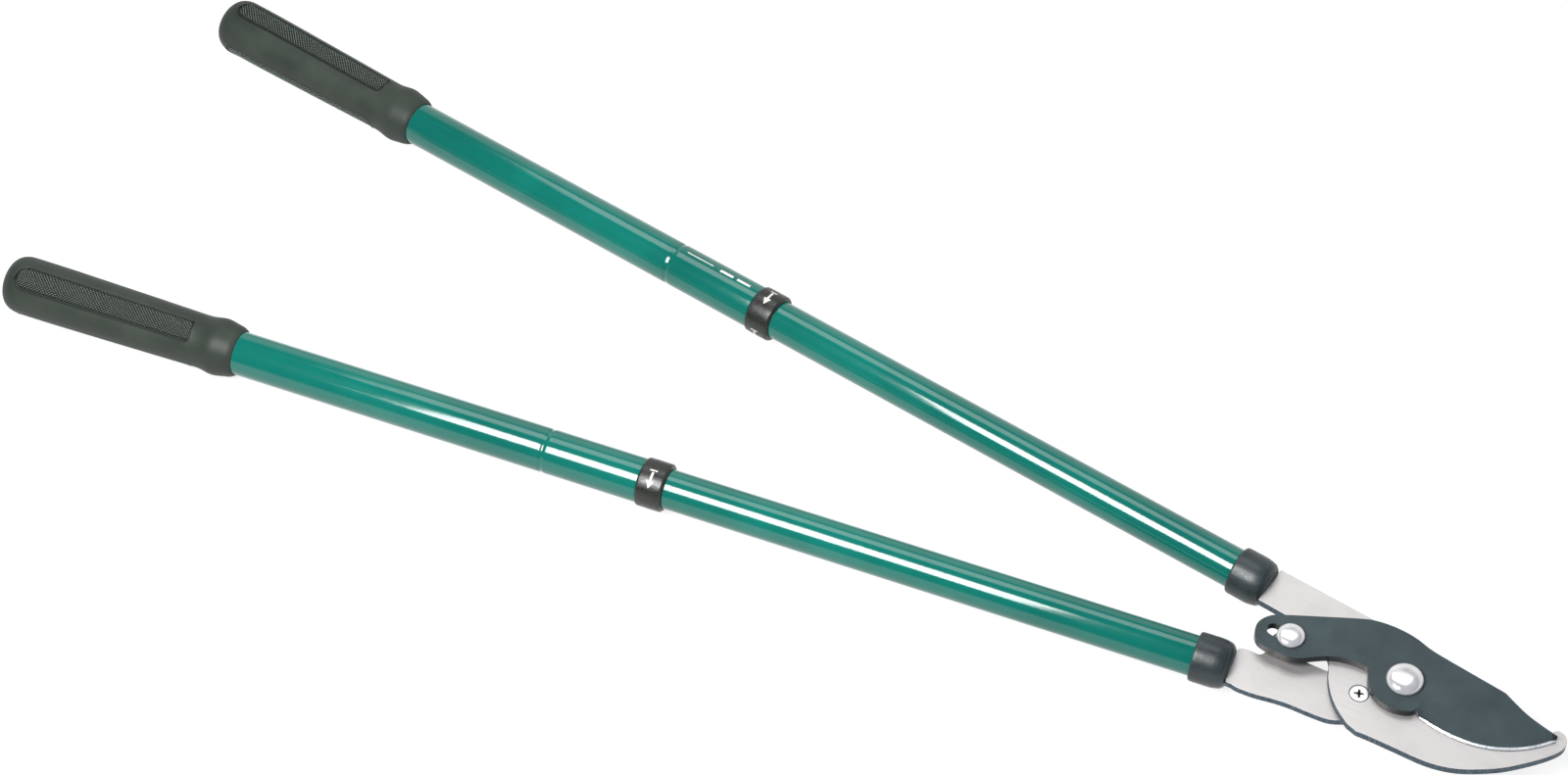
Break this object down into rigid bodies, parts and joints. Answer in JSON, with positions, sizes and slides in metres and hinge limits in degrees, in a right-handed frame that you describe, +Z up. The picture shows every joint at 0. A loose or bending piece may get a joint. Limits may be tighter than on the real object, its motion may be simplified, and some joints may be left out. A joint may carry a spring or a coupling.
{
  "type": "bypass loppers",
  "caption": "Telescopic bypass loppers with a compound-action slotted blade over a curved hook and two round extending arms with twist locks and soft grips.",
  "frame": {"origin": "under the middle of the whole outline with the jaws closed and the arms drawn out, at the level of the lower grip's underside", "axes": "+X from the grips to the jaws along the line midway between the arms, +Y to the upper arm's side, +Z up, out of the blade's face"},
  "size_m": [1.0056, 0.2903, 0.0426],
  "materials": {
    "satin_steel": "stamped steel plate with a fine satin grain",
    "coated_blade": "low-friction dark slate coating, ground bright along the edge",
    "bright_plated": "bright polished plating",
    "plated_nuts": "bright zinc plating",
    "bush_steel": "turned and hardened steel",
    "tube_enamel": "glossy teal-green enamel on steel tube",
    "grip_rubber": "dark olive-grey moulded rubber with a diamond knurl panel",
    "collar_plastic": "moulded blue-black plastic",
    "ring_plastic": "moulded black plastic with white arrow marks",
    "lock_nylon": "natural nylon",
    "collet_plastic": "black nylon"
  },
  "bodies": {
    "hook_arm": {"hook_plate": "satin_steel", "main_bolt": "bright_plated", "main_washer": "plated_nuts", "main_nut": "plated_nuts", "link_screw": "bright_plated", "link_bush": "bush_steel", "link_washer": "plated_nuts", "link_nut": "plated_nuts", "upper_collar": "collar_plastic", "upper_rivet": "plated_nuts", "upper_inner_tube": "tube_enamel", "upper_lock_plug": "lock_nylon", "upper_lock_cap": "plated_nuts"},
    "blade_body": {"blade": "coated_blade"},
    "lower_arm": {"lower_tang": "satin_steel", "drive_bolt": "bright_plated", "drive_bush": "bush_steel", "drive_washer": "plated_nuts", "drive_nut": "plated_nuts", "lower_collar": "collar_plastic", "lower_rivet": "plated_nuts", "lower_inner_tube": "tube_enamel", "lower_lock_plug": "lock_nylon", "lower_lock_cap": "plated_nuts"},
    "upper_lock": {"upper_lock_collet": "collet_plastic"},
    "upper_sleeve": {"upper_outer_tube": "tube_enamel", "upper_lock_ring": "ring_plastic", "upper_grip": "grip_rubber"},
    "lower_lock": {"lower_lock_collet": "collet_plastic"},
    "lower_sleeve": {"lower_outer_tube": "tube_enamel", "lower_lock_ring": "ring_plastic", "lower_grip": "grip_rubber"}
  },
  "joints": [
    {"name": "handle_pivot", "type": "hinge", "parent": "hook_arm", "child": "lower_arm", "pos_m": [0.3853, -0.0162, 0.0188], "axis": [0, 0, 1], "range_deg": [0, 55]},
    {"name": "blade_pivot", "type": "hinge", "parent": "hook_arm", "child": "blade_body", "pos_m": [0.406, 0.0013, 0.02915], "axis": [0, 0, 1], "range_deg": [0, 37]},
    {"name": "upper_twist_lock", "type": "hinge", "parent": "hook_arm", "child": "upper_lock", "pos_m": [0.3081, 0.0304, 0.02385], "axis": [0.9928, -0.1201, 0], "range_deg": [0, 90]},
    {"name": "upper_extension", "type": "slide", "parent": "upper_lock", "child": "upper_sleeve", "axis": [0.9928, -0.1201, 0], "range_m": [0, 0.33]},
    {"name": "lower_twist_lock", "type": "hinge", "parent": "lower_arm", "child": "lower_lock", "pos_m": [0.3108, -0.0299, 0.0188], "axis": [0.9928, 0.1201, 0], "range_deg": [0, 90]},
    {"name": "lower_extension", "type": "slide", "parent": "lower_lock", "child": "lower_sleeve", "axis": [0.9928, 0.1201, 0], "range_m": [0, 0.33]}
  ],
  "couplings": [
    {"joint": "blade_pivot", "follows": "handle_pivot", "ratio": 0.67}
  ]
}
